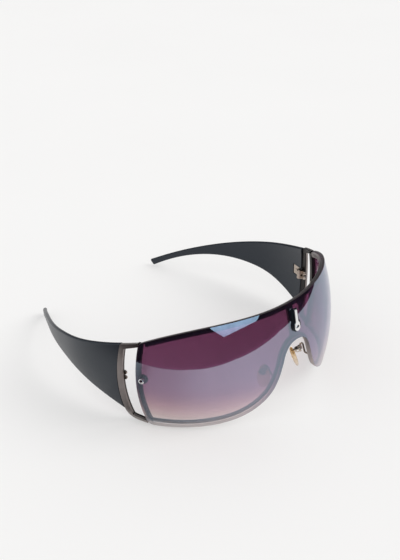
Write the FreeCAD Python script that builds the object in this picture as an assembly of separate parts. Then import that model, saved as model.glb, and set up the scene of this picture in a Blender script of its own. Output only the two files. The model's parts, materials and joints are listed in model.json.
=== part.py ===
import FreeCAD, Part
import os
from math import asin, cos, pi, radians, sin, tan

# Shield sunglasses: one wrap-round lens in front of a soldered metal front, two deep moulded
# temples on barrel hinges, and two nose pads that rock in their boxes. Millimetres, Z up, the
# front faces -Y, and the glasses stand open on the table on the front's foot and the temple tips.
# Right-hand pieces are made on the +X side, and left-hand pieces are their mirror images.

Vector = FreeCAD.Vector

# Front surface: a sheet wrapped round a vertical axis and bowed from top to bottom
wrap_radius = 73.6
bow_radius = 107.6
equator_height = 29.1

# Lens
lens_thickness = 1.8
lens_half_arc = 85.9
lens_side_bulge = 1.9
lens_crown_height = 64.0
lens_brow_fall = 12.4
lens_foot_height = 0.1
lens_top_ease = 1.2
lens_foot_ease = 3.0
bridge_height = 20.2
brow_fall_power = 3.35
lower_edge_shares = (
    (0.838, 0.030), (0.675, 0.0615), (0.512, 0.105), (0.384, 0.1685), (0.283, 0.265), (0.207, 0.392),
    (0.157, 0.558), (0.120, 0.756), (0.090, 0.907), (0.051, 0.979),
)

# Metal rim behind the lens
lens_seat_gap = 0.1
rim_thickness = 1.3
rim_width = 2.0
brow_width = 2.9
rim_inset = 0.3
rim_edge_round = 0.3
rim_joint_fall = 24.8
solder_gap = 0.05

# End pieces with their slots
end_face_depth = 0.3
end_thickness = 2.0
end_reach = 13.5
end_rear_bow = 2.5
end_bow_height = 23.0
end_bar_width = 2.6
end_bar_flare = 1.7
end_foot_height = 0.4
end_foot_rise = 1.2
end_foot_ease = 6.0
end_top_ease = 0.8
link_fall = 3.1
link_height = 1.9
slot_ease = 0.6
side_bar_width = 1.7
side_bar_lip = 0.8
lens_edge_gap = 0.15

# Lens screws
lens_screw_inset = 1.2
lens_screw_fall = 21.0
lens_screw_radius = 0.7
lens_screw_head_radius = 1.5
lens_screw_head_height = 0.9
lens_bushing_wall = 0.3
lens_ear_radius = 2.4
lens_nut_radius = 1.5
lens_nut_height = 1.1
thread_clearance = 0.03

# Bridge
clip_height = 11.2
clip_stem_width = 2.0
clip_lobe_radius = 1.9
clip_thickness = 1.8
clip_foot_rise = 5.1
clip_base_margin = 1.4
clip_base_foot_margin = 0.5
clip_base_thickness = 0.5
strut_width = 4.4
strut_thickness = 1.2
bridge_screw_radius = 0.6
bridge_screw_head_radius = 1.15
bridge_screw_head_height = 0.45
bridge_screw_sink = 0.5

# Hinges
hinge_height = 29.6
hinge_barrel_radius = 1.35
hinge_length = 5.4
hinge_barrel_gap = 0.06
hinge_barrels = 3
hinge_screw_radius = 0.7
hinge_screw_head_radius = 1.05
hinge_screw_head_height = 0.5
hinge_running_clearance = 0.05
leaf_thickness = 0.8
leaf_length = 5.2
leaf_height = 5.8
leaf_neck_length = 2.0
leaf_clearance = 0.2
leaf_setback = 0.6
leaf_lug_radius = 1.1
pocket_depth = 0.9
pocket_margin = 0.5
leaf_screw_radius = 0.6
leaf_screw_head_radius = 1.05
leaf_screw_head_height = 0.4
leaf_screw_grip = 1.0

# Temples
temple_gap = 0.3
temple_thickness = 2.4
temple_reach = 116.0
temple_tip_inset = 27.0
temple_top_step = 0.9
temple_edge_crown = 0.7
temple_tip_ease = 0.5
temple_tip_slant = 2.6
temple_station_shares = (
    # along, inset, top, bottom, thickness
    (-0.060, 0.070, 1.050, 0.088, 1.00),
    (0.000, 0.000, 1.000, 0.152, 1.00),
    (0.081, -0.071, 0.938, 0.218, 1.00),
    (0.214, -0.131, 0.842, 0.310, 0.96),
    (0.388, -0.063, 0.718, 0.379, 0.92),
    (0.540, 0.097, 0.598, 0.382, 0.90),
    (0.693, 0.350, 0.462, 0.332, 0.90),
    (0.847, 0.654, 0.299, 0.205, 0.94),
    (1.000, 0.996, 0.106, 0.028, 0.98),
)

# Nose pads
pad_spread = 14.0
pad_setback = 11.4
pad_fall = 18.2
pad_splay = 30.0
pad_flare = 18.0
pad_half_length = 6.3
pad_half_width = 3.3
pad_thickness = 2.4
pad_edge_round = 0.9
pad_drop = 3.6
pad_standoff = 2.7
pad_arm_radius = 0.5
pad_arm_bend = 1.0
pad_arm_rise = 3.6
pad_arm_fall = 18.0
pad_arm_start = 2.0
pad_arm_lead = 2.6
pad_arm_tail = 0.6
box_plate_radius = 1.9
box_plate_thickness = 0.7
box_ear_thickness = 0.6
box_ear_half_height = 1.0
box_ear_reach = 2.0
pad_pivot_reach = 1.15
pad_screw_radius = 0.45
pad_screw_head_radius = 0.75
pad_screw_head_height = 0.35
tang_width = 1.2
tang_radius = 0.85
tang_side_clearance = 0.1
tang_flange_radius = 1.65
tang_flange_thickness = 0.8
tang_flange_cover = 0.7

# Working values
overrun = 3.0
sample_step = 5.0
spare_samples = 4
brow_samples = 25
side_samples = 9
search_steps = 400
nut_sides = 6
block_height = 120.0
block_turn = 115.0

# Depths and heights that follow from the sizes above
seat_depth = lens_thickness + lens_seat_gap
rim_back_depth = seat_depth + rim_thickness
end_back_depth = end_face_depth + end_thickness
lens_corner_height = lens_crown_height - lens_brow_fall
lens_screw_height = lens_corner_height - lens_screw_fall
lens_side_arc = lens_half_arc + lens_side_bulge
lens_screw_arc = lens_half_arc - lens_screw_inset
end_rear_arc = lens_half_arc + end_reach
notch_height = lens_crown_height - bridge_height
rim_joint_height = notch_height - rim_joint_fall
pad_height = notch_height - pad_fall
pad_arm_height = notch_height - pad_arm_fall
end_top_height = lens_corner_height - link_fall
temple_front_height = end_top_height - temple_top_step
clip_foot_height = notch_height + clip_foot_rise
clip_face_depth = -solder_gap - clip_thickness
clip_base_depth = -solder_gap - clip_base_thickness
bridge_screw_height = clip_foot_height + clip_lobe_radius
bridge_screw_seat = clip_face_depth + bridge_screw_sink
hinge_depth = end_face_depth + temple_thickness + hinge_barrel_radius + hinge_running_clearance
leaf_screw_place = leaf_neck_length + leaf_length / 2


# Front surface helpers
def on_front(arc, height, depth):
    """Point at an arc round the front from its middle and a height, sunk by a depth below the lens face."""
    turn = arc / wrap_radius
    rise = asin((height - equator_height) / bow_radius)
    reach = wrap_radius - bow_radius + (bow_radius - depth) * cos(rise)
    level = equator_height + (bow_radius - depth) * sin(rise)
    return Vector(reach * sin(turn), wrap_radius - reach * cos(turn), level)


def front_normal(arc, height):
    """Unit vector that points out of the front surface at an arc and a height."""
    outward = on_front(arc, height, -overrun) - on_front(arc, height, 0)
    return outward.normalize()


def brow_line(arc):
    """Height of the front's top edge at an arc, over the lens and on along the end piece."""
    share = abs(arc) / lens_half_arc
    if share <= 1:
        return lens_crown_height - lens_brow_fall * share ** brow_fall_power
    past_share = (abs(arc) - lens_half_arc) / (end_rear_arc - end_rear_bow - lens_half_arc)
    return lens_corner_height - link_fall * past_share


def lens_side(height):
    """Arc of the lens's side edge at a height."""
    share = (height - equator_height) / (lens_corner_height - equator_height)
    return lens_side_arc - (lens_side_arc - lens_half_arc) * share ** 2


def end_rear(height):
    """Arc of the end piece's rear edge at a height."""
    share = (height - end_bow_height) / (end_top_height - end_bow_height)
    return end_rear_arc - end_rear_bow * share ** 2


def slot_outer(height):
    """Arc of the slot's outer edge at a height: the end bar widens towards its foot."""
    share = height / lens_corner_height
    return end_rear(height) - end_bar_width - end_bar_flare * (1 - share)


def foot_line(arc):
    """Height of the end piece's lower edge at an arc."""
    share = (arc - lens_half_arc) / (end_rear_arc - lens_half_arc)
    return end_foot_height + end_foot_rise * share


# Flat drawing helpers: X is the arc round the front and Y the height
def spread(first, last, count):
    """Evenly spaced values from first to last."""
    return [first + (last - first) * step / (count - 1) for step in range(count)]


def flat_edge(points):
    """Smooth flat edge through (arc, height) points."""
    spots = [Vector(arc, height, 0) for arc, height in points]
    if len(spots) == 2:
        return Part.makeLine(spots[0], spots[1])
    curve = Part.BSplineCurve()
    curve.interpolate(spots)
    return curve.toShape()


def rounded_loop(edges, eases):
    """Closed loop of flat edges, with the corner after each edge eased over its own distance."""
    kept = []
    for place, edge in enumerate(edges):
        first = edge.getParameterByLength(eases[place - 1])
        last = edge.getParameterByLength(edge.Length - eases[place])
        kept.append(edge.Curve.toShape(first, last))
    loop = []
    for place, edge in enumerate(kept):
        loop.append(edge)
        if eases[place] > 0:
            follower = kept[(place + 1) % len(kept)]
            corner = edges[place].valueAt(edges[place].LastParameter)
            start = edge.valueAt(edge.LastParameter)
            end = follower.valueAt(follower.FirstParameter)
            bend = Part.BezierCurve()
            bend.setPoles([start, corner, end])
            loop.append(bend.toShape())
    return loop


def flat_loop(corners):
    """Closed loop of straight flat edges through (arc, height) corners."""
    return [flat_edge([corners[place - 1], corners[place]]) for place in range(len(corners))]


def wrapped_edge(edge, depth):
    """A flat edge laid onto the front surface at a depth."""
    count = int(edge.Length / sample_step) + spare_samples
    curve = Part.BSplineCurve()
    curve.interpolate([on_front(spot.x, spot.y, depth) for spot in edge.discretize(count)])
    return curve.toShape()


def fence(loop, outer_depth, inner_depth):
    """Walls that stand square to the front surface along a flat loop, past both depths."""
    walls = []
    for edge in loop:
        outside = wrapped_edge(edge, outer_depth - overrun)
        inside = wrapped_edge(edge, inner_depth + overrun)
        walls.append(Part.makeRuledSurface(outside, inside))
    shell = Part.makeShell(walls)
    shell.sewShape()
    return shell


def front_block(outer_depth, inner_depth):
    """The whole wrapped sheet between two depths, taller and wider than the front."""
    rise = asin(block_height / 2 / bow_radius)
    centre = Vector(0, bow_radius, equator_height)

    def arc_at(depth):
        radius = bow_radius - depth
        tips = [centre + Vector(0, -radius * cos(turn), radius * sin(turn)) for turn in (-rise, 0, rise)]
        return Part.Arc(tips[0], tips[1], tips[2]).toShape()

    outer = arc_at(outer_depth)
    inner = arc_at(inner_depth)
    ends = [(edge.valueAt(edge.FirstParameter), edge.valueAt(edge.LastParameter)) for edge in (outer, inner)]
    low = Part.makeLine(ends[0][0], ends[1][0])
    high = Part.makeLine(ends[0][1], ends[1][1])
    profile = Part.Face(Part.Wire(Part.__sortEdges__([outer, high, inner, low])))
    axis_foot = Vector(0, wrap_radius, 0)
    upright = Vector(0, 0, 1)
    profile.rotate(axis_foot, upright, -block_turn)
    return profile.revolve(axis_foot, upright, 2 * block_turn)


def piece_at(block, cutter, spot):
    """The piece of a block, cut by a shell, that holds a spot."""
    pieces, _ = block.generalFuse([cutter])
    return next(piece for piece in pieces.Solids if piece.isInside(spot, solder_gap, False))


def wrapped_plate(loop, outer_depth, inner_depth, arc, height):
    """Plate on the front surface with a flat loop for outline; the arc and height lie inside it."""
    spot = on_front(arc, height, (outer_depth + inner_depth) / 2)
    return piece_at(front_block(outer_depth, inner_depth), fence(loop, outer_depth, inner_depth), spot)


def wrapped_bar(edge, first, last, inset, width, front_depth, thickness, edge_round):
    """Bar that follows a flat edge between two lengths along it, inset to the right of its run."""
    count = int((last - first) / sample_step) + spare_samples

    def line_at(aside_inset):
        points = []
        for length in spread(first, last, count):
            spot = edge.getParameterByLength(length)
            run = edge.tangentAt(spot)
            point = edge.valueAt(spot) + Vector(run.y, -run.x, 0) * aside_inset
            points.append((point.x, point.y))
        return points

    outer = line_at(inset)
    inner = line_at(inset + width)
    middle = line_at(inset + width / 2)[count // 2]
    first_end = flat_edge([inner[0], outer[0]])
    last_end = flat_edge([outer[-1], inner[-1]])
    loop = [flat_edge(outer), last_end, flat_edge(inner[::-1]), first_end]
    bar = wrapped_plate(loop, front_depth, front_depth + thickness, middle[0], middle[1])
    long_edges = [side for side in bar.Edges if side.Length > width + thickness]
    return bar.makeFillet(edge_round, long_edges)


def normal_rod(arc, height, radius, outer_depth, inner_depth):
    """Round rod square to the front surface between two depths."""
    start = on_front(arc, height, outer_depth)
    return Part.makeCylinder(radius, inner_depth - outer_depth, start, front_normal(arc, height) * -1)


def mirrored(shape):
    """The same piece on the other side."""
    return shape.mirror(Vector(0, 0, 0), Vector(1, 0, 0))


# Flat edges that several pieces share
def lower_edge():
    """Lens's lower edge from its right foot round the nose notch to its left foot."""
    foot = (lens_side(lens_foot_height), lens_foot_height)
    half = [foot]
    half += [(lens_half_arc * arc_share, notch_height * share) for arc_share, share in lower_edge_shares]
    crown = [(0, notch_height)]
    other = [(-arc, height) for arc, height in reversed(half)]
    return flat_edge(half + crown + other)


def top_edge(half_arc):
    """Top edge of the front from left to right."""
    return flat_edge([(arc, brow_line(arc)) for arc in spread(-half_arc, half_arc, brow_samples)])


def side_edge(arc_at, high, low):
    """Edge that runs down from one height to another at the arcs that a rule gives."""
    return flat_edge([(arc_at(height), height) for height in spread(high, low, side_samples)])


# Lens and metal front
def shield_lens():
    """One-piece lens with its nose notch and screw holes."""
    right = side_edge(lens_side, lens_corner_height, lens_foot_height)
    left = side_edge(lambda height: -lens_side(height), lens_foot_height, lens_corner_height)
    eases = (lens_top_ease, lens_foot_ease, lens_foot_ease, lens_top_ease)
    loop = rounded_loop([top_edge(lens_half_arc), right, lower_edge(), left], eases)
    plate = wrapped_plate(loop, 0, lens_thickness, lens_half_arc / 2, equator_height)
    bushing_radius = lens_screw_radius + thread_clearance + lens_bushing_wall + thread_clearance
    for arc in (-lens_screw_arc, lens_screw_arc):
        plate = plate.cut(normal_rod(arc, lens_screw_height, bushing_radius, -overrun, overrun))
    bridge_bore = bridge_screw_radius + thread_clearance
    return plate.cut(normal_rod(0, bridge_screw_height, bridge_bore, -overrun, overrun))


def side_bar_inner(height):
    """Arc of the side bar's inner edge at a height."""
    return lens_side(height) - rim_inset - side_bar_width


def brow_bar():
    """Bar behind the lens's top edge, between the two end pieces."""
    edge = top_edge(side_bar_inner(lens_corner_height) - solder_gap)
    return wrapped_bar(edge, 0, edge.Length, rim_inset, brow_width, seat_depth, rim_thickness, rim_edge_round)


def rim_cut_lengths(edge):
    """Lengths along the lower edge where the rim starts at the right side bar and meets the nose arch."""
    lengths = spread(0, edge.Length / 2, search_steps)
    spots = [edge.valueAt(edge.getParameterByLength(length)) for length in lengths]
    clear = [spot.x < side_bar_inner(spot.y) - solder_gap for spot in spots]
    risen = [spot.y > rim_joint_height for spot in spots]
    return lengths[clear.index(True)], lengths[risen.index(True)]


def right_lower_rim():
    """Rim behind the lens's lower edge, from the side bar to the nose arch."""
    edge = lower_edge()
    start, joint = rim_cut_lengths(edge)
    return wrapped_bar(edge, start, joint, rim_inset, rim_width, seat_depth, rim_thickness, rim_edge_round)


def nose_arch():
    """Rim behind the nose notch, which carries the pad arms."""
    edge = lower_edge()
    joint = rim_cut_lengths(edge)[1] + solder_gap
    last = edge.Length - joint
    return wrapped_bar(edge, joint, last, rim_inset, rim_width, seat_depth, rim_thickness, rim_edge_round)


def right_end_piece():
    """Slotted end piece: a side bar under the lens, two links, and the bar that carries the hinge."""
    inner_arc = lens_side(lens_corner_height - link_height) + lens_edge_gap
    foot_arc = lens_side(end_foot_height + link_height) + lens_edge_gap
    rear_foot = foot_line(end_rear_arc)
    roof = end_top_height - link_height
    floor = rear_foot + link_height
    inner_top = (inner_arc, brow_line(inner_arc))
    inner_roof = (inner_arc, brow_line(inner_arc) - link_height)
    inner_floor = (foot_arc, foot_line(foot_arc) + link_height)
    inner_foot = (foot_arc, foot_line(foot_arc))
    edges = [
        flat_edge([inner_top, (end_rear(end_top_height), end_top_height)]),
        side_edge(end_rear, end_top_height, rear_foot),
        flat_edge([(end_rear(rear_foot), rear_foot), inner_foot]),
        flat_edge([inner_foot, inner_floor]),
        flat_edge([inner_floor, (slot_outer(floor), floor)]),
        side_edge(slot_outer, floor, roof),
        flat_edge([(slot_outer(roof), roof), inner_roof]),
        flat_edge([inner_roof, inner_top]),
    ]
    eases = (end_top_ease, end_foot_ease, 0, 0, slot_ease, slot_ease, 0, 0)
    bar_arc = (end_rear(hinge_height) + slot_outer(hinge_height)) / 2
    loop = rounded_loop(edges, eases)
    frame = wrapped_plate(loop, end_face_depth, end_back_depth, bar_arc, hinge_height)

    def side_lip(height):
        return lens_side(height) + side_bar_lip

    high = lens_corner_height - rim_inset
    low = end_foot_height
    side_loop = [
        flat_edge([(side_bar_inner(high), high), (side_lip(high), high)]),
        side_edge(side_lip, high, low),
        flat_edge([(side_lip(low), low), (side_bar_inner(low), low)]),
        side_edge(side_bar_inner, low, high),
    ]
    bar_middle = lens_side_arc - side_bar_width / 2
    side_bar = wrapped_plate(side_loop, seat_depth, rim_back_depth, bar_middle, equator_height)
    past = rim_back_depth + overrun
    ear = normal_rod(lens_screw_arc, lens_screw_height, lens_ear_radius, -overrun, past)
    ear = ear.common(front_block(seat_depth, rim_back_depth))
    hole = normal_rod(lens_screw_arc, lens_screw_height, lens_screw_radius + thread_clearance, 0, past)
    return frame.fuse([side_bar, ear]).cut(hole)


# Lens fasteners
def domed_screw(arc, height, radius, head_radius, head_height, seat, end):
    """Screw square to the front with a domed head that seats at one depth and ends at another."""
    shank = normal_rod(arc, height, radius, seat, end)
    dome_radius = (head_radius ** 2 + head_height ** 2) / (2 * head_height)
    dome_centre = on_front(arc, height, seat + dome_radius - head_height)
    keeper = normal_rod(arc, height, head_radius, seat - head_height - overrun, seat)
    head = Part.makeSphere(dome_radius, dome_centre).common(keeper)
    return shank.fuse(head)


def right_lens_screw():
    """Domed screw that holds the lens's side to the end piece's ear."""
    end = rim_back_depth + lens_nut_height
    head_seat = -solder_gap
    return domed_screw(lens_screw_arc, lens_screw_height, lens_screw_radius, lens_screw_head_radius,
                       lens_screw_head_height, head_seat, end)


def right_lens_bushing():
    """Nylon bushing between the lens screw and the lens."""
    bore = lens_screw_radius + thread_clearance
    sleeve = normal_rod(lens_screw_arc, lens_screw_height, bore + lens_bushing_wall, 0, lens_thickness)
    return sleeve.cut(normal_rod(lens_screw_arc, lens_screw_height, bore, -overrun, overrun))


def right_lens_nut():
    """Hexagon nut behind the end piece's ear."""
    seat = rim_back_depth + solder_gap
    middle = on_front(lens_screw_arc, lens_screw_height, seat)
    inward = front_normal(lens_screw_arc, lens_screw_height) * -1
    turn = FreeCAD.Rotation(Vector(0, 0, 1), inward)
    angles = [2 * pi * side / nut_sides for side in range(nut_sides)]
    spokes = [Vector(cos(angle), sin(angle), 0) * lens_nut_radius for angle in angles]
    corners = [middle + turn.multVec(spoke) for spoke in spokes]
    outline = Part.makePolygon(corners + corners[:1])
    body = Part.Face(outline).extrude(inward * lens_nut_height)
    bore = lens_screw_radius + thread_clearance
    return body.cut(normal_rod(lens_screw_arc, lens_screw_height, bore, 0, seat + lens_nut_height + overrun))


# Bridge
def keyhole(margin, lobe_height, face_depth):
    """Upright strip with a round lobe at its foot, wider than the clip's stem by a margin, up to a depth."""
    half = clip_stem_width / 2 + margin
    high = clip_foot_height + clip_height
    edges = flat_loop([(-half, lobe_height), (-half, high), (half, high), (half, lobe_height)])
    loop = rounded_loop(edges, (0, half / 2, half / 2, 0))
    stem = wrapped_plate(loop, face_depth, -solder_gap, 0, (lobe_height + high) / 2)
    lobe = normal_rod(0, lobe_height, clip_lobe_radius + margin, face_depth - overrun, overrun)
    return stem.fuse(lobe.common(front_block(face_depth, -solder_gap))).removeSplitter()


def bridge_clip():
    """Raised keyhole on the front of the lens, on a thin wider base, with a pocket for the bridge screw."""
    low = bridge_screw_height
    raised = keyhole(0, low, clip_face_depth)
    base = keyhole(clip_base_margin, low + clip_base_margin - clip_base_foot_margin, clip_base_depth)
    bore = normal_rod(0, low, bridge_screw_radius + thread_clearance, clip_face_depth - overrun, overrun)
    pocket_radius = bridge_screw_head_radius + thread_clearance
    pocket = normal_rod(0, low, pocket_radius, clip_face_depth - overrun, bridge_screw_seat)
    return raised.fuse(base).cut(bore).cut(pocket)


def bridge_strut():
    """Strut behind the lens from the brow bar to the nose arch, which takes the bridge screw."""
    half = strut_width / 2
    high = lens_crown_height - rim_inset - brow_width - solder_gap
    low = notch_height + rim_inset + rim_width + solder_gap
    back_depth = seat_depth + strut_thickness
    loop = flat_loop([(-half, low), (-half, high), (half, high), (half, low)])
    plate = wrapped_plate(loop, seat_depth, back_depth, 0, (low + high) / 2)
    bore = bridge_screw_radius + thread_clearance
    return plate.cut(normal_rod(0, bridge_screw_height, bore, 0, back_depth + overrun))


def bridge_screw():
    """Screw through the clip's lobe and the lens into the strut."""
    seat = bridge_screw_seat - solder_gap
    return domed_screw(0, bridge_screw_height, bridge_screw_radius, bridge_screw_head_radius,
                       bridge_screw_head_height, seat, seat_depth + strut_thickness)


# Hinges: drawn round their own axis, with X outwards, Y towards the rear and Z up
def hinge_axis():
    """Point on the right hinge's axis at its middle height."""
    return on_front(end_rear(hinge_height) + temple_gap / 2, hinge_height, hinge_depth)


def hinge_turn():
    """Rotation from the hinge's own axes to the frame's."""
    turn = (end_rear(hinge_height) + temple_gap / 2) / wrap_radius
    outwards = Vector(sin(turn), -cos(turn), 0)
    rearwards = Vector(cos(turn), sin(turn), 0)
    return FreeCAD.Rotation(outwards, rearwards, Vector(0, 0, 1), "ZXY")


def at_hinge(shape):
    """A piece drawn round the hinge's axis, moved to the right hinge."""
    place = FreeCAD.Placement(hinge_axis(), hinge_turn())
    return shape.transformed(place.toMatrix())


def barrel(low, high, radius):
    """Upright round on the hinge's axis."""
    return Part.makeCylinder(radius, high - low, Vector(0, 0, low))


def box_between(low, high):
    """Box between two corners."""
    size = [high[place] - low[place] for place in range(3)]
    return Part.makeBox(size[0], size[1], size[2], Vector(low[0], low[1], low[2]))


barrel_height = (hinge_length - hinge_barrel_gap * (hinge_barrels - 1)) / hinge_barrels
hinge_half = hinge_length / 2
middle_half = barrel_height / 2
middle_room = middle_half + hinge_barrel_gap
leaf_outer = hinge_barrel_radius + hinge_running_clearance + pocket_depth - solder_gap
leaf_inner = leaf_outer - leaf_thickness


def right_front_leaf():
    """Hinge leaf soldered inside the end bar, with the upper and lower barrels and two lugs in the slot."""
    high = hinge_height + hinge_half
    low = hinge_height - hinge_half
    axis_arc = end_rear(hinge_height) + temple_gap / 2
    reach = axis_arc - slot_outer(hinge_height) - leaf_setback
    sag = reach ** 2 / (2 * wrap_radius) + hinge_half ** 2 / (2 * bow_radius)
    face = hinge_depth - end_back_depth - solder_gap - sag
    rear = -leaf_clearance - temple_gap / 2
    plate = box_between((face - leaf_thickness, -reach, -hinge_half), (face, rear, hinge_half))
    seat = end_back_depth + solder_gap
    lugs = []
    for height in (low + leaf_lug_radius, high - leaf_lug_radius):
        lugs.append(normal_rod(slot_outer(height), height, leaf_lug_radius, seat, seat + leaf_thickness))
    blank = plate
    for foot, top in ((-hinge_half, -middle_room), (middle_room, hinge_half)):
        neck = box_between((0, -leaf_neck_length, foot), (hinge_barrel_radius, 0, top))
        blank = blank.fuse([neck, barrel(foot, top, hinge_barrel_radius)])
    room = barrel(-middle_room, middle_room, hinge_barrel_radius + leaf_clearance)
    bore = barrel(-hinge_length, hinge_length, hinge_screw_radius + thread_clearance)
    return at_hinge(blank.cut([room, bore])).fuse(lugs)


def right_temple_leaf():
    """Hinge leaf in the temple's pocket, with the middle barrel."""
    rear = leaf_neck_length + leaf_length
    plate = box_between((leaf_inner, leaf_neck_length, -leaf_height / 2), (leaf_outer, rear, leaf_height / 2))
    neck = box_between((0, 0, -middle_half), (leaf_outer, leaf_neck_length, middle_half))
    blank = plate.fuse([neck, barrel(-middle_half, middle_half, hinge_barrel_radius)])
    bore = barrel(-hinge_length, hinge_length, hinge_screw_radius + hinge_running_clearance)
    screw_hole = leaf_rod(leaf_screw_radius + thread_clearance, 0, leaf_outer)
    return at_hinge(blank.cut([bore, screw_hole]))


def leaf_rod(radius, first, last):
    """Rod on the leaf screw's axis."""
    return Part.makeCylinder(radius, last - first, Vector(first, leaf_screw_place, 0), Vector(1, 0, 0))


def right_hinge_screw():
    """Screw down the three barrels, with its head on the upper one."""
    shank = barrel(-hinge_half, hinge_half + hinge_screw_head_height, hinge_screw_radius)
    head = barrel(hinge_half + solder_gap, hinge_half + hinge_screw_head_height, hinge_screw_head_radius)
    return at_hinge(shank.fuse(head))


def right_leaf_screw():
    """Screw that holds the hinge leaf to the temple."""
    seat = leaf_inner - solder_gap
    top = seat - leaf_screw_head_height
    shank = leaf_rod(leaf_screw_radius, top, leaf_outer + leaf_screw_grip)
    return at_hinge(shank.fuse(leaf_rod(leaf_screw_head_radius, top, seat)))


# Temples
def temple_section(spot, outwards, top, bottom, thickness, lean):
    """Closed section of the temple: two bowed faces and two crowned edges, with its foot drawn forward by a lean."""
    middle = (top + bottom) / 2
    sag = (top - bottom) ** 2 / (8 * bow_radius)
    rim = temple_edge_crown

    def at(inset, height):
        upright = Vector(spot.x - outwards.x * inset, spot.y - outwards.y * inset, height)
        return upright - lean * ((top - height) / (top - bottom))

    outer_top = at(sag, top - rim)
    outer_foot = at(sag, bottom + rim)
    inner_top = at(sag + thickness, top - rim)
    inner_foot = at(sag + thickness, bottom + rim)
    return Part.Wire([
        Part.Arc(outer_top, at(0, middle), outer_foot).toShape(),
        Part.Arc(outer_foot, at(sag + thickness / 2, bottom), inner_foot).toShape(),
        Part.Arc(inner_foot, at(thickness, middle), inner_top).toShape(),
        Part.Arc(inner_top, at(sag + thickness / 2, top), outer_top).toShape(),
    ])


def right_temple():
    """Deep moulded temple that sweeps down and in to its tip, with a pocket for the hinge leaf."""
    start = on_front(end_rear(equator_height), equator_height, end_face_depth)
    spots = []
    for along, inset, top, bottom, thickness in temple_station_shares:
        spots.append(start + Vector(-temple_tip_inset * inset, temple_reach * along, 0))
    path = Part.BSplineCurve()
    path.interpolate(spots)
    sections = []
    for spot, row in zip(spots, temple_station_shares):
        run = path.tangent(path.parameter(spot))[0]
        outwards = Vector(run.y, -run.x, 0)
        top, bottom = temple_front_height * row[2], temple_front_height * row[3]
        lean = run * (temple_tip_slant if spot is spots[-1] else 0)
        sections.append(temple_section(spot, outwards, top, bottom, temple_thickness * row[4], lean))
    blank = Part.makeLoft(sections, True, False)
    tip_start = spots[-1].y - temple_tip_slant - temple_thickness
    tip_edges = [edge for edge in blank.Edges if edge.BoundBox.YMin > tip_start]
    blank = blank.makeFillet(temple_tip_ease, tip_edges)
    front = side_edge(lambda height: end_rear(height) + temple_gap, lens_crown_height, -overrun)
    rear_spot = (spots[2] + spots[3]) / 2 - Vector(temple_thickness / 2, 0, 0)
    blank = piece_at(blank, fence([front], -overrun, hinge_depth), rear_spot)
    floor = leaf_outer + solder_gap
    half = leaf_height / 2 + pocket_margin
    rear = leaf_neck_length + leaf_length + pocket_margin
    pocket = box_between((-temple_thickness, -overrun, -half), (floor, rear, half))
    hole = leaf_rod(leaf_screw_radius + thread_clearance, 0, leaf_outer + leaf_screw_grip + thread_clearance)
    return blank.cut([at_hinge(pocket), at_hinge(hole)])


# Nose pads: drawn on the pad box, with X up the pad, Y across it and Z towards the nose
def pad_axes():
    """Directions up the right pad, across it, and out of its face."""
    splay = radians(pad_splay)
    flare = radians(pad_flare)
    level = Vector(-cos(splay), sin(splay), 0)
    upright = Vector(0, 0, 1)
    face = level * cos(flare) - upright * sin(flare)
    up = upright * cos(flare) + level * sin(flare)
    return up, face.cross(up), face


def pad_place():
    """Place and turn of the right pad box."""
    up, across, face = pad_axes()
    turn = FreeCAD.Rotation(up, across, face, "ZXY")
    return FreeCAD.Placement(Vector(pad_spread, pad_setback, pad_height), turn)


def at_pad(shape):
    """A piece drawn on the pad box, moved to the right pad."""
    return shape.transformed(pad_place().toMatrix())


def across_rod(radius, first, last):
    """Rod along the pad's rocking axis."""
    return Part.makeCylinder(radius, last - first, Vector(0, first, pad_pivot_reach), Vector(0, 1, 0))


ear_inner = tang_width / 2 + tang_side_clearance
ear_outer = ear_inner + box_ear_thickness


def right_pad_box():
    """Round plate with two ears that hold the pad's tang."""
    plate = Part.makeCylinder(box_plate_radius, box_plate_thickness, Vector(0, 0, -box_plate_thickness))
    ears = []
    for first, last in ((-ear_outer, -ear_inner), (ear_inner, ear_outer)):
        low_corner = (-box_ear_half_height, first, -box_plate_thickness)
        ears.append(box_between(low_corner, (box_ear_half_height, last, box_ear_reach)))
    bore = across_rod(pad_screw_radius + thread_clearance, -ear_outer - overrun, ear_outer + overrun)
    return at_pad(plate.fuse(ears).cut(bore))


def right_pad_screw():
    """Screw through the box's ears and the pad's tang."""
    shank = across_rod(pad_screw_radius, -ear_outer, ear_outer + pad_screw_head_height)
    head = across_rod(pad_screw_head_radius, ear_outer + solder_gap, ear_outer + pad_screw_head_height)
    return at_pad(shank.fuse(head))


def tang_blank():
    """Tang and its round flange, before the screw's bore."""
    neck_end = pad_standoff + tang_flange_cover
    half = tang_width / 2
    neck = box_between((-tang_radius, -half, pad_pivot_reach), (tang_radius, half, neck_end))
    round_end = across_rod(tang_radius, -half, half)
    flange = Part.makeCylinder(tang_flange_radius, tang_flange_thickness, Vector(0, 0, neck_end))
    return neck.fuse([round_end, flange])


def right_pad_tang():
    """Stiff core of the pad: a tang that rocks on the screw and a flange inside the pad."""
    bore = across_rod(pad_screw_radius + hinge_running_clearance, -tang_width, tang_width)
    return at_pad(tang_blank().cut(bore))


def right_nose_pad():
    """Soft oval pad moulded round the tang's flange."""
    outline = Part.Ellipse(Vector(-pad_drop, 0, pad_standoff), pad_half_length, pad_half_width).toShape()
    body = Part.Face(Part.Wire(outline)).extrude(Vector(0, 0, pad_thickness))
    body = body.makeFillet(pad_edge_round, body.Edges)
    return at_pad(body.cut(tang_blank()))


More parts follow.
